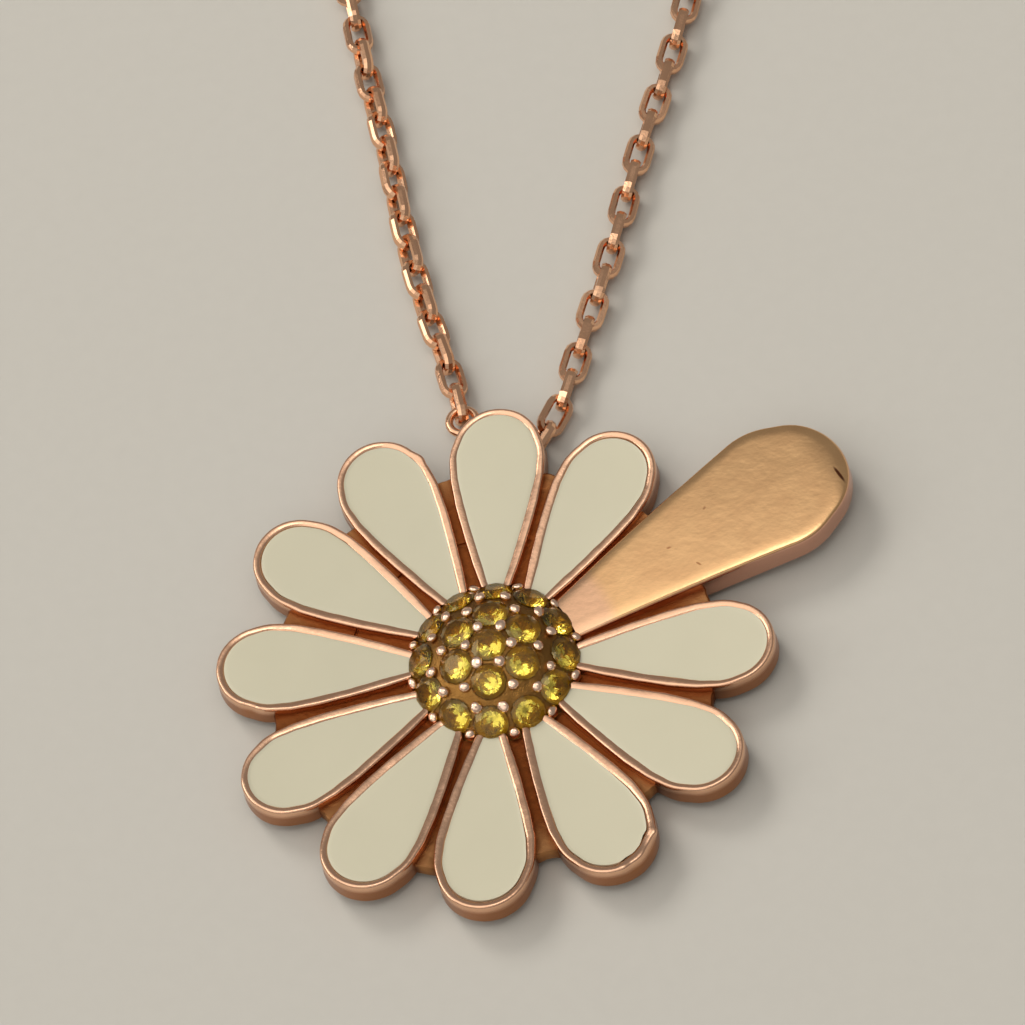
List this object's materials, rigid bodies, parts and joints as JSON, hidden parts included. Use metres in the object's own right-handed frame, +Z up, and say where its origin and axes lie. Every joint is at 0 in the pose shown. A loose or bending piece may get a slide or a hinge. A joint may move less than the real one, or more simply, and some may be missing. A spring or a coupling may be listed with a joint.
{
  "type": "flower pendant on a cable chain necklace",
  "caption": "Flower pendant with rimmed white enamel petals, one long polished gold petal and a domed centre of yellow stones, on a fine cable chain necklace.",
  "frame": {"origin": "middle of the flower's flat back, on the surface that the necklace lies on", "axes": "+Z up out of the flower's face; +Y along the top petal, towards the chain and the clasp"},
  "size_m": [0.0801, 0.2034, 0.0026],
  "materials": {
    "rose_gold": "polished rose gold",
    "white_enamel": "off-white glossy enamel",
    "yellow_stone": "faceted yellow stones"
  },
  "bodies": {
    "root": {"flower_body": "rose_gold", "clasp": "rose_gold", "chain_left_links": "rose_gold", "chain_right_links": "rose_gold", "chain_left_back": "rose_gold", "chain_right_back": "rose_gold", "enamel_01": "white_enamel", "enamel_02": "white_enamel", "enamel_03": "white_enamel", "enamel_04": "white_enamel", "enamel_05": "white_enamel", "enamel_06": "white_enamel", "enamel_07": "white_enamel", "enamel_08": "white_enamel", "enamel_09": "white_enamel", "enamel_10": "white_enamel", "enamel_11": "white_enamel", "stone_01": "yellow_stone", "stone_02": "yellow_stone", "stone_03": "yellow_stone", "stone_04": "yellow_stone", "stone_05": "yellow_stone", "stone_06": "yellow_stone", "stone_07": "yellow_stone", "stone_08": "yellow_stone", "stone_09": "yellow_stone", "stone_10": "yellow_stone", "stone_11": "yellow_stone", "stone_12": "yellow_stone", "stone_13": "yellow_stone", "stone_14": "yellow_stone", "stone_15": "yellow_stone", "stone_16": "yellow_stone", "stone_17": "yellow_stone", "stone_18": "yellow_stone", "stone_19": "yellow_stone"}
  },
  "joints": []
}
